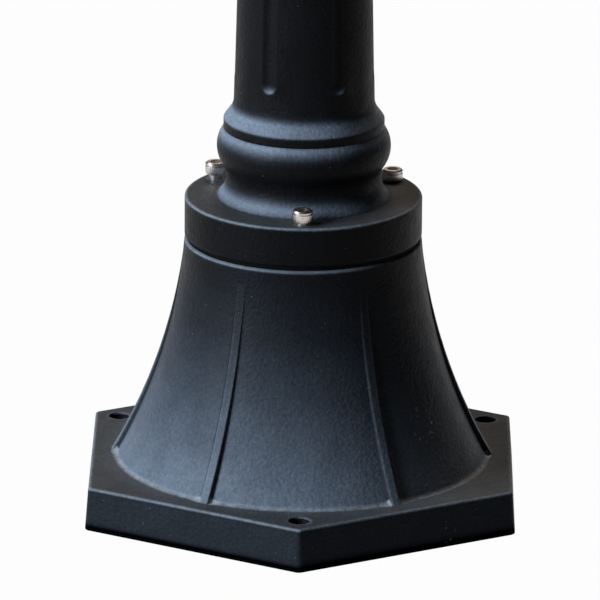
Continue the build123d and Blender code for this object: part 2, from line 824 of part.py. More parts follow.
with BuildPart() as lampholder_shell:
    with BuildSketch(Plane.XY.offset(cup_floor)):
        Circle(shell_radius)
        Circle(shell_radius - shell_wall, mode=Mode.SUBTRACT)
    extrude(amount=shell_height)
save(lampholder_shell, "lampholder_shell")

with BuildPart() as lampholder_contact:
    with BuildSketch(Plane.XY.offset(cup_floor)):
        Circle(contact_radius)
    extrude(amount=contact_height)
save(lampholder_contact, "lampholder_contact")

# Bulb: screw cap and glass envelope
bulb_neck_radius = shell_radius - shell_wall - bulb_cap_gap
shoulder_angle = radians(bulb_shoulder_angle)
bulb_shoulder_radius = bulb_radius * cos(shoulder_angle)
bulb_shoulder_z = bulb_cap_top + (bulb_shoulder_radius - bulb_neck_radius) / tan(shoulder_angle / 2)
bulb_shoulder = (bulb_shoulder_radius, bulb_shoulder_z)
bulb_top = bulb_shoulder_z + bulb_radius * (1 + sin(shoulder_angle))

with BuildPart() as bulb_cap:
    with BuildSketch(Plane.XY.offset(bulb_cap_bottom)):
        Circle(bulb_neck_radius)
    extrude(amount=bulb_cap_height)
save(bulb_cap, "bulb_cap")

with BuildPart() as bulb_glass:
    with BuildSketch(Plane.XZ):
        with BuildLine():
            bulb_neck = TangentArc((bulb_neck_radius, bulb_cap_top), bulb_shoulder, tangent=(0, 1))
            TangentArc(bulb_shoulder, (0, bulb_top), tangent=bulb_neck % 1)
            Polyline((0, bulb_top), (0, bulb_cap_top), (bulb_neck_radius, bulb_cap_top))
        make_face()
    revolve(axis=Axis.Z)
save(bulb_glass, "bulb_glass")

# Terminal block under the deck, with wire ways, clamp screws and two fixings
block_bottom = deck_bottom - block_height

with BuildPart() as terminal_block:
    with BuildSketch(Plane.XY.offset(block_bottom)):
        with Locations((0, block_circle_radius)):
            Rectangle(block_length, block_width)
            with GridLocations(pole_pitch, 0, 2, 1):
                Circle(fixing_radius + hole_gap, mode=Mode.SUBTRACT)
    extrude(amount=block_height)
    with BuildSketch(Plane.XY.offset(block_bottom)):
        with Locations((0, block_circle_radius)):
            with GridLocations(pole_pitch, 2 * pole_screw_offset, pole_count, 2):
                Circle(pole_screw_radius + thread_gap)
    extrude(amount=pole_screw_length, mode=Mode.SUBTRACT)
    with BuildSketch(Plane.XZ.offset(-block_circle_radius - block_width / 2)):
        with Locations((0, block_bottom + pole_screw_length + wire_hole_radius)):
            with GridLocations(pole_pitch, 0, pole_count, 1):
                Circle(wire_hole_radius)
    extrude(amount=block_width, mode=Mode.SUBTRACT)
save(terminal_block, "terminal_block")

with BuildPart() as terminal_screws:
    with BuildSketch(Plane.XY.offset(block_bottom)):
        with Locations((0, block_circle_radius)):
            with GridLocations(pole_pitch, 2 * pole_screw_offset, pole_count, 2):
                Circle(pole_screw_radius)
    extrude(amount=pole_screw_length)
save(terminal_screws, "terminal_screws")

with BuildPart() as terminal_fixings:
    with BuildSketch(Plane.XY.offset(block_bottom)):
        with Locations((0, block_circle_radius)):
            with GridLocations(pole_pitch, 0, 2, 1):
                Circle(fixing_radius)
    extrude(amount=block_height + fixing_engagement)
save(terminal_fixings, "terminal_fixings")

# Earth screw and washer under the deck
earth_place = polar(earth_circle_radius, earth_angle)
earth_head_top = deck_bottom - earth_washer_thickness

with BuildPart() as earth_washer:
    with BuildSketch(Plane.XY.offset(earth_head_top)):
        with Locations(earth_place):
            Circle(earth_washer_radius)
            Circle(earth_screw_radius + hole_gap, mode=Mode.SUBTRACT)
    extrude(amount=earth_washer_thickness)
save(earth_washer, "earth_washer")

with BuildPart() as earth_screw:
    with BuildSketch(Plane.XY.offset(earth_head_top)):
        with Locations(earth_place):
            Circle(earth_head_radius)
    extrude(amount=-earth_head_height)
    with BuildSketch(Plane.XY.offset(earth_head_top)):
        with Locations(earth_place):
            Circle(earth_screw_radius)
    extrude(amount=earth_washer_thickness + earth_engagement)
save(earth_screw, "earth_screw")
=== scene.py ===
import json
from math import cos, pi, radians, sin

import bmesh
import bpy
from mathutils import Matrix, Vector


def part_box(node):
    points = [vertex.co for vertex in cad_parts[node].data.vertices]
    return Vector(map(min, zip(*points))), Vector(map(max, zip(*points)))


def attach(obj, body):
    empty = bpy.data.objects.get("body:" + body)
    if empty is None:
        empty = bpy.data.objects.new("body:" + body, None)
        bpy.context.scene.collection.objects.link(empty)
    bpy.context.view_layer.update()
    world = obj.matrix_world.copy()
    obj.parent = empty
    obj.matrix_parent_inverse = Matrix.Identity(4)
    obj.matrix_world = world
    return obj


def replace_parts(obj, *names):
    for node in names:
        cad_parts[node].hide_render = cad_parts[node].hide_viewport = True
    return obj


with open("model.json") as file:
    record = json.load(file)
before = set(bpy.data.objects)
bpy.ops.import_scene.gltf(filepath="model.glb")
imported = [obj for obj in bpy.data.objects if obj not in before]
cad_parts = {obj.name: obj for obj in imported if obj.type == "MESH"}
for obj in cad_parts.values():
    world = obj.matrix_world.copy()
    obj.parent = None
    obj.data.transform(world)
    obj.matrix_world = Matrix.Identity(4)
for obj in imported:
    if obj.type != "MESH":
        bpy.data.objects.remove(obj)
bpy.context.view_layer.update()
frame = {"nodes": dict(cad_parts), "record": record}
nodes = frame["nodes"]

# Lengths are in metres and angles in degrees, apart from the camera's sensor and lens, in millimetres

# Camera: it looks along +Y and down at the foot of the post
CAMERA_DISTANCE = 4.1039
CAMERA_HEIGHT = 1.3982
CAMERA_SIDE = -0.0013
CAMERA_YAW = 0.43
CAMERA_PITCH = 17.56
CAMERA_ROLL = 0.45
CAMERA_CLIP_END = 1000.0
SENSOR_WIDTH = 36.0
FOCAL_LENGTH = 527.8

# Lamps and room; an area lamp shines with its energy over four times its area
LAMP_TARGET = (0.0, 0.0, 0.20)
LAMP_DISTANCE = 3.4
LAMP_ENERGY_FACTOR = 4
ROOM_COLOUR = (0.5, 0.5, 0.5, 1.0)
ROOM_STRENGTH = 0.02

# Floor: half its width, how far it lies under the part, its white share where it is seen, and its own grey
FLOOR_REACH = 300.0
FLOOR_DROP = 0.0002
FLOOR_WHITE_SHARE = 0.98
FLOOR_GREY = (0.11, 0.11, 0.11, 1.0)

# Angle of the front from +X, and the angle between two faces from which their edge is drawn sharp
FRONT = -90.0
SHARP_ANGLE = 35.0

# Flange screws: socket head cap screws, two of them standing out of their seats
SCREW_HEAD_RADIUS = 0.0050
SCREW_HEAD_HEIGHT = 0.0060
SCREW_RADIUS = 0.0030
SCREW_LENGTH = 0.0315
SCREW_SOCKET_FLATS = 0.0050
SCREW_SOCKET_DEPTH = 0.0030
SCREW_KNURLS = 36
SCREW_LIFTS = (0.0014, 0.0, 0.0028)

# Small screws of the lantern: button heads with a socket
BAR_SCREW_COUNT = 6
BAR_SCREW_HEAD_RADIUS = 0.00275
BAR_SCREW_HEAD_HEIGHT = 0.0020
BAR_SCREW_RADIUS = 0.0015
BAR_SCREW_SOCKET = 0.0020
ROOF_SCREW_COUNT = 3
ROOF_SCREW_HEAD_RADIUS = 0.0035
ROOF_SCREW_HEAD_HEIGHT = 0.0024
ROOF_SCREW_RADIUS = 0.0020
ROOF_SCREW_LENGTH = 0.016
ROOF_SCREW_SOCKET = 0.0025
BUTTON_SIDES = 48
BUTTON_CROWN_STEPS = 6

# Bulb: blown glass envelope round a stem, two leads and a coiled filament
BULB_RADIUS = 0.030
BULB_NECK_RADIUS = 0.0134
BULB_SHOULDER_ANGLE = 40.0
BULB_WALL = 0.0007
BULB_SIDES = 72
BULB_NECK_STEPS = 10
BULB_CROWN_STEPS = 26
STEM_RADIUS = 0.0052
STEM_HEIGHT = 0.026
STEM_SIDES = 40
# Stem outline, as shares of its radius and its height
STEM_OUTLINE = (
    (0, 0.0), (2.2, 0.0), (1.6, 0.12), (1.0, 0.30), (0.72, 0.55),
    (0.62, 0.80), (0.66, 0.90), (0.52, 0.97), (0, 1.0),
)
LEAD_RADIUS = 0.00035
LEAD_SIDES = 8
# Leads: where they leave the stem, as a share of its height, then half their gap at heights above that
LEAD_START = 0.85
LEAD_BENDS = ((0.0016, 0.0), (0.0018, 0.004), (0.0066, 0.010))
FILAMENT_HEIGHT = 0.047
FILAMENT_SPAN = 0.011
FILAMENT_ARCH = 0.0025
FILAMENT_TURNS = 22
FILAMENT_TURN_STEPS = 12
FILAMENT_COIL_RADIUS = 0.0006
FILAMENT_WIRE_RADIUS = 0.00014
FILAMENT_SIDES = 5

scene = bpy.context.scene
scene.view_settings.view_transform = "Standard"


def on_circle(radius, angle, z):
    """Point at a distance from the Z axis and an angle in radians round it."""
    return (radius * cos(angle), radius * sin(angle), z)


def even_angles(count, start=FRONT):
    """Angles in radians of a number of places spread evenly round the axis."""
    return [radians(start + index * 360 / count) for index in range(count)]


# Rays that each place sends out to look for corners, crevices and edges
SHADE_RAYS = 4
# Light that reaches a place from inside the solid: nearly 1 on a flat face, less beside an outer edge
INSIDE_FLAT = 0.92
INSIDE_EDGE = 0.62
# Middle range of a noise texture, where most of its values lie
NOISE_MIDDLE = (0.3, 0.7)


class Finish:
    """A node material built around one Principled shader, with short calls for its textures."""

    def __init__(self, name):
        self.material = bpy.data.materials.new(name)
        self.material.use_nodes = True
        self.tree = self.material.node_tree
        self.tree.nodes.clear()
        output = self.node("ShaderNodeOutputMaterial")
        self.shader = self.node("ShaderNodeBsdfPrincipled")
        self.link(self.shader.outputs["BSDF"], output.inputs["Surface"])
        self.place = self.node("ShaderNodeTexCoord").outputs["Object"]

    def node(self, kind, **settings):
        """Add a node with its settings."""
        made = self.tree.nodes.new(kind)
        for key, value in settings.items():
            setattr(made, key, value)
        return made

    def link(self, out, into):
        """Link an output to an input."""
        self.tree.links.new(out, into)

    def put(self, socket, value):
        """Link a socket to another node's output, or set it to a constant."""
        if isinstance(value, bpy.types.NodeSocket):
            self.link(value, socket)
        else:
            socket.default_value = value

    def set(self, **values):
        """Set or link the shader's own sockets, with underscores for spaces in their names."""
        for key, value in values.items():
            self.put(self.shader.inputs[key.replace("_", " ")], value)

    def noise(self, scale, detail=2.0, distortion=0.0):
        """Noise texture fixed to the part."""
        made = self.node("ShaderNodeTexNoise")
        self.link(self.place, made.inputs["Vector"])
        made.inputs["Scale"].default_value = scale
        made.inputs["Detail"].default_value = detail
        made.inputs["Distortion"].default_value = distortion
        return made.outputs["Fac"]

    def mottle(self, scale, detail, low, high):
        """Noise texture that runs from a low to a high value."""
        return self.span(self.noise(scale, detail), *NOISE_MIDDLE, low, high)

    def specks(self, scale, share, size):
        """Mask of small round specks: one in some of the cells of a cell pattern."""
        cells = self.node("ShaderNodeTexVoronoi")
        self.link(self.place, cells.inputs["Vector"])
        cells.inputs["Scale"].default_value = scale
        near = self.math("LESS_THAN", cells.outputs["Distance"], size)
        split = self.node("ShaderNodeSeparateColor")
        self.link(cells.outputs["Color"], split.inputs["Color"])
        chosen = self.math("LESS_THAN", split.outputs["Red"], share)
        return self.product(near, chosen)

    def math(self, operation, first, second=0.0, clamp=False):
        """One operation on one or two values."""
        made = self.node("ShaderNodeMath", operation=operation, use_clamp=clamp)
        self.put(made.inputs[0], first)
        self.put(made.inputs[1], second)
        return made.outputs[0]

    def product(self, total, *factors):
        """Several values multiplied in turn."""
        for factor in factors:
            total = self.math("MULTIPLY", total, factor)
        return total

    def span(self, value, low, high, to_low=0.0, to_high=1.0):
        """Map a value's range to another one, clamped."""
        made = self.node("ShaderNodeMapRange", clamp=True)
        self.put(made.inputs["Value"], value)
        ends = (("From Min", low), ("From Max", high), ("To Min", to_low), ("To Max", to_high))
        for key, number in ends:
            made.inputs[key].default_value = number
        return made.outputs["Result"]

    def blend(self, factor, first, second):
        """Mix two colours."""
        made = self.node("ShaderNodeMix", data_type="RGBA")
        self.put(made.inputs["Factor"], factor)
        for socket, colour in ((made.inputs[6], first), (made.inputs[7], second)):
            self.put(socket, colour if isinstance(colour, bpy.types.NodeSocket) else (*colour, 1.0))
        return made.outputs[2]

    def ramp(self, value, stops):
        """Colour that runs through a list of stops as a value goes from 0 to 1."""
        made = self.node("ShaderNodeValToRGB")
        self.link(value, made.inputs["Fac"])
        elements = made.color_ramp.elements
        while len(elements) < len(stops):
            elements.new(1.0)
        for element, (place, colour) in zip(elements, stops):
            element.position = place
            element.color = (*colour, 1.0)
        return made.outputs["Color"]

    def scaled(self, colour, factor):
        """Colour made lighter or darker by a factor."""
        made = self.node("ShaderNodeVectorMath", operation="SCALE")
        self.link(colour, made.inputs[0])
        self.link(factor, made.inputs["Scale"])
        return made.outputs["Vector"]

    def distance(self, centre):
        """Distance from a point on the part."""
        made = self.node("ShaderNodeVectorMath", operation="DISTANCE")
        self.link(self.place, made.inputs[0])
        made.inputs[1].default_value = centre
        return made.outputs["Value"]

    def coordinate(self, vector, letter):
        """One coordinate of a vector."""
        split = self.node("ShaderNodeSeparateXYZ")
        self.link(vector, split.inputs[0])
        return split.outputs[letter]

    def axis(self, letter):
        """One coordinate of the place on the part."""
        return self.coordinate(self.place, letter)

    def upward(self, normal):
        """Height of a normal: 1 on level faces that look up, 0 on upright ones."""
        return self.coordinate(normal, "Z")

    def axis_distance(self):
        """Distance from the post's axis."""
        flat = self.node("ShaderNodeVectorMath", operation="MULTIPLY")
        self.link(self.place, flat.inputs[0])
        flat.inputs[1].default_value = (1.0, 1.0, 0.0)
        length = self.node("ShaderNodeVectorMath", operation="LENGTH")
        self.link(flat.outputs["Vector"], length.inputs[0])
        return length.outputs["Value"]

    def turn_from(self, count):
        """Angle in radians from the nearest of a number of even rays from the axis, the first along +X."""
        angle = self.math("ARCTAN2", self.axis("Y"), self.axis("X"))
        turns = self.math("ADD", self.product(angle, count / (2 * pi)), 0.5)
        off_ray = self.math("SUBTRACT", self.math("FRACT", turns), 0.5)
        return self.product(self.math("ABSOLUTE", off_ray), 2 * pi / count)

    def openness(self, reach, **settings):
        """How open the surface is within a reach: 1 on flat or bulging places, less in corners."""
        rays = dict(samples=SHADE_RAYS, only_local=True, **settings)
        made = self.node("ShaderNodeAmbientOcclusion", **rays)
        made.inputs["Distance"].default_value = reach
        return made.outputs["AO"]

    def edges(self, reach):
        """Mask that is 1 on outer edges, sharp or rounded, and falls to 0 within a reach of them."""
        return self.span(self.openness(reach, inside=True), INSIDE_FLAT, INSIDE_EDGE)

    def bump(self, height, distance, normal=None):
        """Surface normal with a texture's relief, on top of another normal if there is one."""
        made = self.node("ShaderNodeBump")
        made.inputs["Distance"].default_value = distance
        self.put(made.inputs["Height"], height)
        if normal is not None:
            self.link(normal, made.inputs["Normal"])
        return made.outputs["Normal"]

    def rounded(self, radius):
        """Surface normal with sharp edges rounded off."""
        made = self.node("ShaderNodeBevel", samples=SHADE_RAYS)
        made.inputs["Radius"].default_value = radius
        return made.outputs["Normal"]


# Black coat. A row with BY in its name maps a measure to a value: from, to, and the value at each end.
# Black by the slope of the face, made lighter on slopes and level faces as painted sheen: 0 on upright
# faces, 1 on level ones
COAT_BLACK_AND_SHEEN = (
    (0.00, (0.0050, 0.0050, 0.0058)),
    (0.10, (0.0084, 0.0089, 0.0106)),
    (0.20, (0.0180, 0.0204, 0.0256)),
    (0.30, (0.0460, 0.0540, 0.0670)),
    (0.40, (0.0960, 0.1130, 0.1400)),
    (0.50, (0.1640, 0.1930, 0.2380)),
    (0.60, (0.1700, 0.1990, 0.2440)),
    (0.70, (0.1160, 0.1340, 0.1600)),
    (0.85, (0.0680, 0.0750, 0.0850)),
    (1.00, (0.0590, 0.0600, 0.0630)),
)
# Rounding of sharp edges, and the scale and depth of the casting's waves, the coat's peel and its grain
COAT_ROUNDING = 0.0018
COAT_RELIEF = ((30.0, 0.0003), (520.0, 0.00032), (1100.0, 0.00015))
GLOSS_BY_HEIGHT = (0.0030, 0.0060, 0.0, 0.05)

# Places on the foot: the plate's top, its anchor holes, and the bell's foot and ribs
PLATE_TOP = 0.0215
ANCHOR_COUNT = 3
ANCHOR_CIRCLE = 0.1052
BELL_FOOT_RADIUS = 0.0908
RIB_COUNT = 6

# Painted sheen on the plate's upright sides, and a painted reflection of the bell on its top beside the
# bell
PLATE_SIDE_SHEEN_COLOUR = (0.0190, 0.0230, 0.0290)
PLATE_SIDE_SHEEN_BY_SLOPE = (0.10, 0.25, 1.0, 0.0)
PLATE_SIDE_SHEEN_BY_HEIGHT = (0.0205, 0.0190, 0.0, 1.0)
BELL_REFLECTION_COLOUR = (0.1000, 0.1140, 0.1360)
BELL_REFLECTION_BY_RADIUS = (0.0915, 0.1020, 0.40, 0.0)
BELL_REFLECTION_BY_HEIGHT = (0.0240, 0.0225, 0.0, 1.0)
BELL_REFLECTION_BY_SLOPE = (0.60, 0.90, 0.0, 1.0)

# Painted shade in creases and tight corners and in the band along the plate's foot, and painted light above
# the flange
CREASE_SHADE_REACH = 0.0016
CREASE_SHADE_BY_OPENNESS = (0.62, 0.90, 0.22, 1.0)
CORNER_SHADE_REACH = 0.0007
CORNER_SHADE_BY_OPENNESS = (0.60, 0.85, 0.30, 1.0)
FOOT_SHADE_BY_HEIGHT = (0.0024, 0.0042, 0.03, 1.0)
UPPER_PAINTED_LIGHT_BY_HEIGHT = (0.1540, 0.1640, 1.0, 1.16)

# Worn paint and painted highlight lines on outer edges: less on the bell, above the flange and round the
# anchor holes
EDGE_WEAR_AND_HIGHLIGHT_COLOUR = (0.36, 0.40, 0.45)
EDGE_WEAR_AND_HIGHLIGHT_REACH = 0.0016
EDGE_WEAR_AND_HIGHLIGHT_BY_NOISE = (0.36, 0.62, 0.50, 1.0)
EDGE_WEAR_AND_HIGHLIGHT_BY_SLOPE = (0.05, 0.35, 0.0, 1.0)
EDGE_WEAR_AND_HIGHLIGHT_BY_BELL = (0.0, 1.0, 0.95, 0.40)
EDGE_WEAR_AND_HIGHLIGHT_BY_HEIGHT = (0.1560, 0.1760, 1.0, 0.55)
EDGE_WEAR_AND_HIGHLIGHT_BY_HOLE_DISTANCE = (0.0070, 0.0085, 0.25, 1.0)
BELL_START_BY_HEIGHT = (0.0225, 0.0245, 0.0, 1.0)
BELL_END_BY_HEIGHT = (0.1300, 0.1280, 0.0, 1.0)

# Pale line where the bell meets the plate, thicker beside the ribs: dust and a painted highlight; its core
# is a share of its reach
FOOT_DUST_AND_HIGHLIGHT_COLOUR = (0.32, 0.34, 0.37)
FOOT_LINE_STRENGTH = 0.80
FOOT_LINE_REACH = 0.0024
FOOT_LINE_CORE = 0.3
FOOT_LINE_BY_NOISE = (0.30, 0.65, 0.30, 0.85)
RIB_FOOT_LINE_REACH = 0.0007
RIB_FOOT_LINE_BY_DISTANCE = (0.0040, 0.0080, 1.0, 0.0)

# Loose dust, and dust marks on the bell and the plate: each mark's centre, reach and strength
DUST_COLOUR = (0.42, 0.42, 0.41)
DUST_STRENGTH = 0.55
DUST_MARK_COLOUR = (0.80, 0.80, 0.78)
DUST_MARK_CORE = 0.4
DUST_MARKS = (
    ((0.0605, -0.0465, 0.0520), 0.0125, 0.50),
    ((0.0715, -0.0788, 0.0060), 0.0060, 0.18),
)


class BlackCoat(Finish):
    """Satin black powder coat on cast metal: fine grain, painted sheen on its slopes, painted shade in
    creases, dust, and worn edges that also carry painted highlight lines.
    """

    def __init__(self):
        super().__init__("black_coat")
        self.soft = self.rounded(COAT_ROUNDING)
        self.slope = self.upward(self.soft)
        self.height = self.axis("Z")
        self.radius = self.axis_distance()
        # Painted shade: darker in creases, where the surface is closed in within a short reach
        self.crease_shade = self.span(self.openness(CREASE_SHADE_REACH), *CREASE_SHADE_BY_OPENNESS)
        # Painted sheen by slope, with random tone, painted shade in creases and along the foot, and painted
        # light above the flange
        colour = self.scaled(self.black_and_sheen(), self.shade())
        # Worn paint and painted highlight lines on the outer edges
        colour = self.blend(self.wear_and_highlight(), colour, EDGE_WEAR_AND_HIGHLIGHT_COLOUR)
        # Painted shade: darker in tight corners
        colour = self.scaled(colour, self.span(self.openness(CORNER_SHADE_REACH), *CORNER_SHADE_BY_OPENNESS))
        # Pale line round the bell's foot: dust and painted highlight
        colour = self.blend(self.foot_dust_and_highlight(), colour, FOOT_DUST_AND_HIGHLIGHT_COLOUR)
        colour = self.dusted(colour)
        rough = self.mottle(scale=160.0, detail=4.0, low=0.40, high=0.50)
        gloss = self.span(self.height, *GLOSS_BY_HEIGHT)
        self.set(Base_Color=colour, Roughness=rough, Normal=self.relief(), Specular_IOR_Level=gloss)

    def black_and_sheen(self):
        """Black by slope with painted sheen on slopes, more painted sheen on the plate's sides, and a
        painted reflection of the bell on the plate's top beside it.
        """
        # Painted sheen: the colour rises on slopes and level faces in place of the lamps' highlight
        colour = self.ramp(self.slope, COAT_BLACK_AND_SHEEN)
        # Painted sheen on the plate's upright sides
        side_sheen = self.product(
            self.span(self.slope, *PLATE_SIDE_SHEEN_BY_SLOPE),
            self.span(self.height, *PLATE_SIDE_SHEEN_BY_HEIGHT),
        )
        colour = self.blend(side_sheen, colour, PLATE_SIDE_SHEEN_COLOUR)
        # Painted reflection of the bell on the plate's top beside it
        bell_reflection = self.product(
            self.span(self.radius, *BELL_REFLECTION_BY_RADIUS),
            self.span(self.height, *BELL_REFLECTION_BY_HEIGHT),
            self.span(self.slope, *BELL_REFLECTION_BY_SLOPE),
        )
        return self.blend(bell_reflection, colour, BELL_REFLECTION_COLOUR)

    def shade(self):
        """Factor that makes the colour uneven at random, with painted shade in creases and along the
        plate's foot and painted light above the flange.
        """
        patches = self.mottle(scale=70.0, detail=5.0, low=0.82, high=1.02)
        speckle = self.mottle(scale=620.0, detail=3.0, low=0.80, high=1.15)
        return self.product(
            self.crease_shade,
            self.product(patches, speckle),
            # Painted shade: a dark band along the plate's foot
            self.span(self.height, *FOOT_SHADE_BY_HEIGHT),
            # Painted light: lighter above the flange
            self.span(self.height, *UPPER_PAINTED_LIGHT_BY_HEIGHT),
        )

    def wear_and_highlight(self):
        """Mask of the worn paint and painted highlight lines on outer edges."""
        on_bell = self.product(
            self.span(self.height, *BELL_START_BY_HEIGHT),
            self.span(self.height, *BELL_END_BY_HEIGHT),
        )
        holes = [on_circle(ANCHOR_CIRCLE, angle, PLATE_TOP) for angle in even_angles(ANCHOR_COUNT)]
        return self.product(
            self.edges(EDGE_WEAR_AND_HIGHLIGHT_REACH),
            self.span(self.noise(scale=300.0, detail=4.0), *EDGE_WEAR_AND_HIGHLIGHT_BY_NOISE),
            self.product(self.crease_shade, self.span(self.slope, *EDGE_WEAR_AND_HIGHLIGHT_BY_SLOPE)),
            self.span(on_bell, *EDGE_WEAR_AND_HIGHLIGHT_BY_BELL),
            self.span(self.height, *EDGE_WEAR_AND_HIGHLIGHT_BY_HEIGHT),
            *(self.span(self.distance(hole), *EDGE_WEAR_AND_HIGHLIGHT_BY_HOLE_DISTANCE) for hole in holes),
        )

    def foot_dust_and_highlight(self):
        """Mask of the line of dust and painted highlight round the bell's foot."""
        aside = self.math("ABSOLUTE", self.math("SUBTRACT", self.radius, BELL_FOOT_RADIUS))
        above = self.math("ABSOLUTE", self.math("SUBTRACT", self.height, PLATE_TOP))
        rib_distance = self.product(self.radius, self.turn_from(RIB_COUNT))
        by_rib = self.span(rib_distance, *RIB_FOOT_LINE_BY_DISTANCE)
        away = self.math("SUBTRACT", self.math("ADD", aside, above), self.product(by_rib, RIB_FOOT_LINE_REACH))
        line = self.span(away, FOOT_LINE_CORE * FOOT_LINE_REACH, FOOT_LINE_REACH, 1.0, 0.0)
        uneven = self.span(self.noise(scale=240.0, detail=4.0), *FOOT_LINE_BY_NOISE)
        line = self.math("MULTIPLY", line, self.math("ADD", uneven, by_rib), clamp=True)
        return self.product(line, FOOT_LINE_STRENGTH)

    def dusted(self, colour):
        """Colour with loose specks all over, and denser ones in the dust marks."""
        large = self.specks(scale=330.0, share=0.012, size=0.075)
        small = self.specks(scale=620.0, share=0.02, size=0.12)
        loose = self.product(self.math("MAXIMUM", large, small), DUST_STRENGTH)
        colour = self.blend(loose, colour, DUST_COLOUR)
        large = self.specks(scale=400.0, share=0.36, size=0.28)
        small = self.specks(scale=640.0, share=0.12, size=0.30)
        dense = self.math("MAXIMUM", large, small)
        for centre, reach, strength in DUST_MARKS:
            near = self.span(self.distance(centre), DUST_MARK_CORE * reach, reach, strength, 0.0)
            colour = self.blend(self.product(dense, near), colour, DUST_MARK_COLOUR)
        return colour

    def relief(self):
        """Surface normal with rounded edges, the casting's waves, peel and grain."""
        normal = self.soft
        for scale, depth in COAT_RELIEF:
            normal = self.bump(self.noise(scale), depth, normal)
        return normal


# Bright metal: rounding of its edges, depth of its scratches, and how strong and how dark its grime is
METAL_ROUNDING = 0.00015
SCRATCH_DEPTH = 0.00001
GRIME_BY_NOISE = (0.5, 0.75, 0.0, 1.0)
GRIME_STRENGTH = 0.5
GRIME_SHADE = 0.45
# Roughness of the smears on glass
SMEAR_BY_NOISE = (0.5, 0.8, 0.0, 0.05)


def bright_metal(name, colour, rough_low, rough_high):
    """Machined metal with fine scratches and a little grime."""
    metal = Finish(name)
    grime = metal.span(metal.noise(scale=900.0, detail=4.0), *GRIME_BY_NOISE)
    dark = tuple(channel * GRIME_SHADE for channel in colour)
    shade = metal.blend(metal.product(grime, GRIME_STRENGTH), colour, dark)
    rough = metal.mottle(scale=1800.0, detail=3.0, low=rough_low, high=rough_high)
    normal = metal.bump(metal.noise(scale=4000.0), SCRATCH_DEPTH, metal.rounded(METAL_ROUNDING))
    metal.set(Base_Color=shade, Metallic=1.0, Roughness=rough, Normal=normal)
    return metal.material


def rubber():
    """Matte black gasket rubber."""
    skin = Finish("gasket_rubber")
    cloud = skin.noise(scale=200.0, detail=3.0)
    colour = skin.blend(cloud, (0.0015, 0.0015, 0.0015), (0.0040, 0.0040, 0.0040))
    normal = skin.bump(skin.noise(scale=900.0), distance=0.00003)
    skin.set(Base_Color=colour, Roughness=0.75, Normal=normal, Specular_IOR_Level=0.05)
    return skin.material


def clear_glass(name, tint):
    """Clear glass with a faint waviness and smears."""
    glass = Finish(name)
    smear = glass.span(glass.noise(scale=45.0, detail=4.0, distortion=1.0), *SMEAR_BY_NOISE)
    normal = glass.bump(glass.noise(scale=12.0, detail=1.0), distance=0.0002)
    glass.set(Base_Color=(*tint, 1.0), Roughness=smear, Normal=normal, Transmission_Weight=1.0, IOR=1.5)
    return glass.material


def porcelain():
    """White glazed ceramic with faint mottling."""
    glaze = Finish("porcelain")
    cloud = glaze.noise(scale=120.0, detail=3.0)
    colour = glaze.blend(cloud, (0.80, 0.78, 0.73), (0.87, 0.86, 0.82))
    rough = glaze.mottle(scale=200.0, detail=3.0, low=0.12, high=0.22)
    normal = glaze.bump(glaze.noise(scale=300.0), distance=0.00003)
    glaze.set(Base_Color=colour, Roughness=rough, Normal=normal)
    return glaze.material


def nylon():
    """Off-white matte nylon of the terminal block."""
    plastic = Finish("white_plastic")
    cloud = plastic.noise(scale=90.0, detail=3.0)
    colour = plastic.blend(cloud, (0.70, 0.69, 0.63), (0.78, 0.77, 0.72))
    normal = plastic.bump(plastic.noise(scale=700.0), distance=0.00004)
    plastic.set(Base_Color=colour, Roughness=0.5, Normal=normal)
    return plastic.material


finishes = {
    "black_coat": BlackCoat().material,
    "gasket_rubber": rubber(),
    "stainless": bright_metal("stainless", (0.60, 0.55, 0.51), rough_low=0.28, rough_high=0.44),
    "zinc_steel": bright_metal("zinc_steel", (0.42, 0.43, 0.45), rough_low=0.30, rough_high=0.50),
    "clear_glass": clear_glass("clear_glass", (0.97, 0.99, 0.985)),
    "bulb_clear": clear_glass("bulb_clear", (0.99, 0.985, 0.97)),
    "porcelain": porcelain(),
    "brass": bright_metal("brass", (0.62, 0.43, 0.16), rough_low=0.22, rough_high=0.40),
    "nickel": bright_metal("nickel", (0.60, 0.58, 0.53), rough_low=0.18, rough_high=0.32),
    "white_plastic": nylon(),
}


def dress(mesh, slot):
    """Give a mesh a slot's finish and smooth shading."""
    mesh.materials.clear()
    mesh.materials.append(finishes[slot])
    mesh.polygons.foreach_set("use_smooth", [True] * len(mesh.polygons))


slot_of = {part["node"]: part["material_slot"] for part in frame["record"]["subparts"]}
for node_name, node_slot in slot_of.items():
    dress(nodes[node_name].data, node_slot)


def new_piece(name, mesh, slot):
    """A new object in the scene that rides on the part's one body and takes a slot's finish."""
    piece = bpy.data.objects.new(name, mesh)
    scene.collection.objects.link(piece)
    dress(mesh, slot)
    mesh.set_sharp_from_angle(angle=radians(SHARP_ANGLE))
    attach(piece, "root")
    return piece


def ring_of(mesh, radius_at, z, count):
    """A ring of vertices at a height, with a radius for each step round the axis."""
    turn = 2 * pi / count
    return [mesh.verts.new(on_circle(radius_at(step), step * turn, z)) for step in range(count)]


def bridge(mesh, rings):
    """Quads between each ring of vertices and the next."""
    for low, high in zip(rings, rings[1:]):
        count = len(low)
        for i in range(count):
            after = (i + 1) % count
            mesh.faces.new((low[i], low[after], high[after], high[i]))


def cap(mesh, rings):
    """Faces that close the first and the last ring."""
    mesh.faces.new(list(reversed(rings[0])))
    mesh.faces.new(rings[-1])


def hexagon_radius(step, count, flats):
    """Distance from the axis to a hexagon's side, at a step round it."""
    angle = (2 * pi * step / count) % (pi / 3) - pi / 6
    return flats / 2 / cos(angle)


def finished(mesh, name, place=None):
    """Turn a bmesh into a mesh, with its faces looking outwards, moved to its place."""
    bmesh.ops.recalc_face_normals(mesh, faces=mesh.faces)
    made = bpy.data.meshes.new(name)
    mesh.to_mesh(made)
    mesh.free()
    if place is not None:
        made.transform(place)
    return made


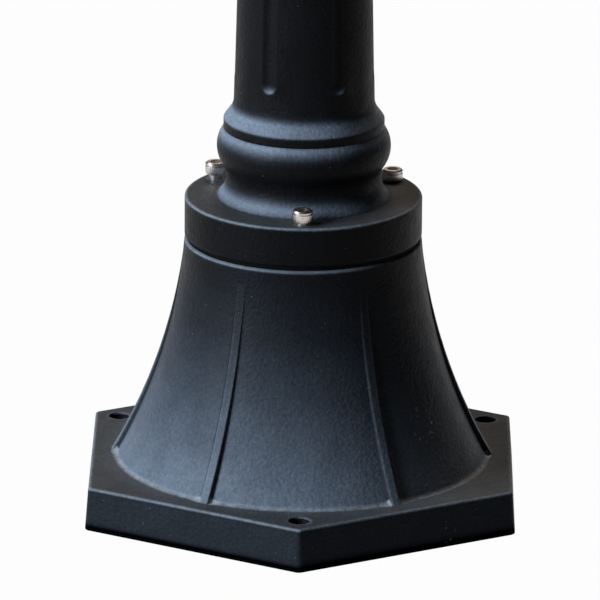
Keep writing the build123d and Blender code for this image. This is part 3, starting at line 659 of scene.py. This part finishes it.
def socket_screw(name, place):
    """Mesh of a knurled flange screw, seated at z = 0 with its head up before it is placed."""
    mesh = bmesh.new()
    count = 2 * SCREW_KNURLS
    head = SCREW_HEAD_RADIUS
    top = SCREW_HEAD_HEIGHT
    foot_radius = head * 0.93
    foot_rise = top * 0.12
    knurl_start = top * 0.22
    tooth = head * 0.03
    neck = top * 0.70
    groove = head * 0.05
    groove_floor = head - groove * 2
    chamfer = head * 0.14

    def knurled(step):
        return head - tooth * (step % 2)

    def socket(step):
        return hexagon_radius(step, count, SCREW_SOCKET_FLATS)

    profile = (
        (lambda step: SCREW_RADIUS, -SCREW_LENGTH),
        (lambda step: SCREW_RADIUS, 0.0),
        (lambda step: foot_radius, 0.0),
        (lambda step: knurled(step) - tooth, foot_rise),
        (knurled, knurl_start),
        (knurled, neck - groove),
        (lambda step: groove_floor, neck),
        (lambda step: groove_floor, neck + groove),
        (lambda step: head, neck + groove * 2),
        (lambda step: head, top - chamfer),
        (lambda step: head - chamfer, top),
        (socket, top),
        (socket, top - SCREW_SOCKET_DEPTH),
    )
    rings = [ring_of(mesh, radius_at, z, count) for radius_at, z in profile]
    bridge(mesh, rings)
    cap(mesh, rings)
    return finished(mesh, name, place)


def button_screw(name, head_radius, head_height, radius, length, flats, place):
    """Mesh of a button head screw with a hexagon socket, seated at z = 0 before it is placed."""
    mesh = bmesh.new()
    rim = head_height * 0.15
    crown_radius = head_radius * 0.55
    socket_floor = head_height * 0.45
    profile = [(radius, -length), (radius, 0.0), (head_radius, 0.0)]
    for step in range(BUTTON_CROWN_STEPS + 1):
        turn = radians(90.0 * step / BUTTON_CROWN_STEPS)
        out = crown_radius + (head_radius - crown_radius) * cos(turn)
        profile.append((out, rim + (head_height - rim) * sin(turn)))
    rings = [ring_of(mesh, lambda step, r=r: r, z, BUTTON_SIDES) for r, z in profile]
    for z in (head_height, socket_floor):
        rings.append(ring_of(mesh, lambda step: hexagon_radius(step, BUTTON_SIDES, flats), z, BUTTON_SIDES))
    bridge(mesh, rings)
    cap(mesh, rings)
    return finished(mesh, name, place)


def tube(mesh, points, radius, sides):
    """Round wire along a list of points, closed at both ends."""
    rings = []
    turn = 2 * pi / sides
    for index, point in enumerate(points):
        ahead = points[min(index + 1, len(points) - 1)] - points[max(index - 1, 0)]
        if rings:
            across = across - ahead * across.dot(ahead) / ahead.dot(ahead)
        else:
            across = ahead.orthogonal()
        across.normalize()
        side = ahead.cross(across).normalized()
        spokes = [across * cos(step * turn) + side * sin(step * turn) for step in range(sides)]
        rings.append([mesh.verts.new(point + spoke * radius) for spoke in spokes])
    bridge(mesh, rings)
    cap(mesh, rings)


def turned(mesh, profile, count):
    """Surface of revolution about Z; a profile point on the axis closes the end."""
    rings = []
    for radius, z in profile:
        if radius == 0:
            rings.append([mesh.verts.new((0, 0, z))])
        else:
            rings.append(ring_of(mesh, lambda step, r=radius: r, z, count))
    for low, high in zip(rings, rings[1:]):
        if len(low) == 1 or len(high) == 1:
            tip, ring = (low[0], high) if len(low) == 1 else (high[0], low)
            for i in range(count):
                mesh.faces.new((ring[i], ring[(i + 1) % count], tip))
        else:
            bridge(mesh, (low, high))


def envelope_profile(foot, wall):
    """Bulb outline from the neck to the crown, moved inwards by a wall."""
    angle = radians(BULB_SHOULDER_ANGLE)
    shoulder = BULB_RADIUS * cos(angle)
    bend = (shoulder - BULB_NECK_RADIUS) / (1 - cos(angle))
    centre = foot + bend * sin(angle) + BULB_RADIUS * sin(angle)
    hollow = bend + wall
    globe = BULB_RADIUS - wall
    outline = []
    for step in range(BULB_NECK_STEPS):
        turn = angle * step / BULB_NECK_STEPS
        outline.append((BULB_NECK_RADIUS + bend - hollow * cos(turn), foot + hollow * sin(turn)))
    for step in range(BULB_CROWN_STEPS):
        turn = -angle + (pi / 2 + angle) * step / BULB_CROWN_STEPS
        outline.append((globe * cos(turn), centre + globe * sin(turn)))
    outline.append((0, centre + globe))
    return outline


def envelope(mesh, foot):
    """Hollow glass envelope, from the outer crown down to the neck and back up inside."""
    outer = envelope_profile(foot, 0.0)
    inner = envelope_profile(foot, BULB_WALL)
    turned(mesh, list(reversed(outer)) + inner, BULB_SIDES)


def stem(mesh, foot):
    """Glass stem that carries the leads."""
    turned(mesh, [(r * STEM_RADIUS, foot + z * STEM_HEIGHT) for r, z in STEM_OUTLINE], STEM_SIDES)


def leads(mesh, foot):
    """Two wires from the stem to the filament's ends."""
    start = foot + STEM_HEIGHT * LEAD_START
    path = [(x, start + z) for x, z in LEAD_BENDS] + [(FILAMENT_SPAN, foot + FILAMENT_HEIGHT)]
    for way in (-1, 1):
        tube(mesh, [Vector((way * x, 0.0, z)) for x, z in path], LEAD_RADIUS, LEAD_SIDES)


def filament(mesh, foot):
    """Coiled wire that arches from lead to lead."""
    steps = FILAMENT_TURNS * FILAMENT_TURN_STEPS
    points = []
    for step in range(steps + 1):
        turn = 2 * pi * FILAMENT_TURNS * step / steps
        along = 2 * step / steps - 1
        middle = foot + FILAMENT_HEIGHT + FILAMENT_ARCH * (1 - along ** 2)
        points.append(Vector((
            FILAMENT_SPAN * along,
            FILAMENT_COIL_RADIUS * cos(turn),
            middle + FILAMENT_COIL_RADIUS * sin(turn),
        )))
    tube(mesh, points, FILAMENT_WIRE_RADIUS, FILAMENT_SIDES)


def bulb():
    """Glass envelope with its stem, leads and filament, in place of the solid bulb."""
    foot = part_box("bulb_glass")[0].z
    contents = (
        ("bulb_envelope", envelope, "bulb_clear"),
        ("bulb_stem", stem, "bulb_clear"),
        ("bulb_leads", leads, "nickel"),
        ("bulb_filament", filament, "zinc_steel"),
    )
    for name, shape, slot in contents:
        mesh = bmesh.new()
        shape(mesh, foot)
        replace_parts(new_piece(name, finished(mesh, name), slot), "bulb_glass")


def bar_screws(node, way):
    """Button head screws that stand for a ring of bar screws, heads up (1) or down (-1)."""
    low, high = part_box(node)
    circle = -low.y - BAR_SCREW_HEAD_RADIUS
    seat = (high.z if way > 0 else low.z) - way * BAR_SCREW_HEAD_HEIGHT
    length = high.z - low.z - BAR_SCREW_HEAD_HEIGHT
    flip = Matrix.Identity(4) if way > 0 else Matrix.Rotation(pi, 4, "X")
    for index, angle in enumerate(even_angles(BAR_SCREW_COUNT)):
        name = f"{node[:-1]}_{index + 1}"
        mesh = button_screw(
            name,
            head_radius=BAR_SCREW_HEAD_RADIUS,
            head_height=BAR_SCREW_HEAD_HEIGHT,
            radius=BAR_SCREW_RADIUS,
            length=length,
            flats=BAR_SCREW_SOCKET,
            place=Matrix.Translation(on_circle(circle, angle, seat)) @ flip,
        )
        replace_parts(new_piece(name, mesh, slot_of[node]), node)


def roof_screws():
    """Button head screws through the roof's skirt, the first towards +X."""
    low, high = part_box("roof_screws")
    seat = Vector((high.x - ROOF_SCREW_HEAD_HEIGHT, 0.0, (low.z + high.z) / 2))
    outwards = Matrix.Translation(seat) @ Matrix.Rotation(pi / 2, 4, "Y")
    for index, angle in enumerate(even_angles(ROOF_SCREW_COUNT, start=0.0)):
        name = f"roof_screw_{index + 1}"
        mesh = button_screw(
            name,
            head_radius=ROOF_SCREW_HEAD_RADIUS,
            head_height=ROOF_SCREW_HEAD_HEIGHT,
            radius=ROOF_SCREW_RADIUS,
            length=ROOF_SCREW_LENGTH,
            flats=ROOF_SCREW_SOCKET,
            place=Matrix.Rotation(angle, 4, "Z") @ outwards,
        )
        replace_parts(new_piece(name, mesh, slot_of["roof_screws"]), "roof_screws")


def flange_screws():
    """Knurled socket head screws of the flange, each at its own height."""
    low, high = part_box("flange_screws")
    circle = -low.y - SCREW_HEAD_RADIUS
    seat = high.z - max(SCREW_LIFTS) - SCREW_HEAD_HEIGHT
    for index, angle in enumerate(even_angles(len(SCREW_LIFTS))):
        name = f"flange_screw_{index + 1}"
        place = Matrix.Translation(on_circle(circle, angle, seat + SCREW_LIFTS[index]))
        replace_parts(new_piece(name, socket_screw(name, place), "stainless"), "flange_screws")


def floor():
    """Wide floor: nearly white to the camera, in gloss and through glass, and dark for bounced light."""
    mesh = bmesh.new()
    bmesh.ops.create_grid(mesh, x_segments=1, y_segments=1, size=FLOOR_REACH)
    made = bpy.data.meshes.new("floor")
    mesh.to_mesh(made)
    mesh.free()
    made.transform(Matrix.Translation((0, 0, -FLOOR_DROP)))
    plane = bpy.data.objects.new("floor", made)
    scene.collection.objects.link(plane)
    material = bpy.data.materials.new("floor")
    material.use_nodes = True
    tree = material.node_tree
    tree.nodes.clear()
    rays = tree.nodes.new("ShaderNodeLightPath")
    seen = rays.outputs["Is Camera Ray"]
    for name in ("Is Glossy Ray", "Is Transmission Ray"):
        joined = tree.nodes.new("ShaderNodeMath")
        joined.operation = "MAXIMUM"
        tree.links.new(seen, joined.inputs[0])
        tree.links.new(rays.outputs[name], joined.inputs[1])
        seen = joined.outputs[0]
    share = tree.nodes.new("ShaderNodeMath")
    share.operation = "MULTIPLY"
    share.inputs[1].default_value = FLOOR_WHITE_SHARE
    tree.links.new(seen, share.inputs[0])
    paper = tree.nodes.new("ShaderNodeBsdfDiffuse")
    paper.inputs["Color"].default_value = FLOOR_GREY
    white = tree.nodes.new("ShaderNodeEmission")
    white.inputs["Strength"].default_value = 1.0
    mixed = tree.nodes.new("ShaderNodeMixShader")
    output = tree.nodes.new("ShaderNodeOutputMaterial")
    tree.links.new(share.outputs[0], mixed.inputs["Fac"])
    tree.links.new(paper.outputs[0], mixed.inputs[1])
    tree.links.new(white.outputs[0], mixed.inputs[2])
    tree.links.new(mixed.outputs[0], output.inputs["Surface"])
    made.materials.append(material)


def softbox(name, azimuth, elevation, size, radiance, colour):
    """Square area lamp aimed at the foot; azimuth 0 is in front of the post and 90 on its right."""
    lamp = bpy.data.lights.new(name, "AREA")
    lamp.shape = "SQUARE"
    lamp.size = size
    lamp.energy = radiance * LAMP_ENERGY_FACTOR * size * size
    lamp.color = colour
    made = bpy.data.objects.new(name, lamp)
    turn = radians(azimuth)
    level = cos(radians(elevation))
    toward = Vector((sin(turn) * level, -cos(turn) * level, sin(radians(elevation))))
    made.location = Vector(LAMP_TARGET) + toward * LAMP_DISTANCE
    made.rotation_euler = (-toward).to_track_quat("-Z", "Y").to_euler()
    made.visible_camera = False
    scene.collection.objects.link(made)


def studio():
    """Dim room with two large cool softboxes on the left and a weaker warm one behind."""
    world = bpy.data.worlds.new("studio")
    scene.world = world
    world.use_nodes = True
    back = world.node_tree.nodes["Background"]
    back.inputs["Color"].default_value = ROOM_COLOUR
    back.inputs["Strength"].default_value = ROOM_STRENGTH
    softbox("key", azimuth=-60.0, elevation=18.0, size=1.6, radiance=15.4, colour=(0.76, 0.88, 1.0))
    softbox("side", azimuth=-95.0, elevation=45.0, size=1.6, radiance=4.0, colour=(0.80, 0.90, 1.0))
    softbox("rear", azimuth=172.0, elevation=53.0, size=1.8, radiance=4.8, colour=(1.0, 0.89, 0.78))


def camera():
    """Long-lens camera at the photograph's viewing angle."""
    lens = bpy.data.cameras.new("camera")
    lens.sensor_width = SENSOR_WIDTH
    lens.lens = FOCAL_LENGTH
    lens.clip_end = CAMERA_CLIP_END
    made = bpy.data.objects.new("camera", lens)
    yaw = Matrix.Rotation(radians(CAMERA_YAW), 4, "Z")
    place = Matrix.Translation((CAMERA_SIDE, -CAMERA_DISTANCE, CAMERA_HEIGHT))
    tilt = Matrix.Rotation(radians(90.0 - CAMERA_PITCH), 4, "X")
    roll = Matrix.Rotation(radians(CAMERA_ROLL), 4, "Z")
    made.matrix_world = yaw @ place @ tilt @ roll
    scene.collection.objects.link(made)
    scene.camera = made


bulb()
bar_screws("lower_bar_screws", -1)
bar_screws("upper_bar_screws", 1)
roof_screws()
flange_screws()
floor()
studio()
camera()
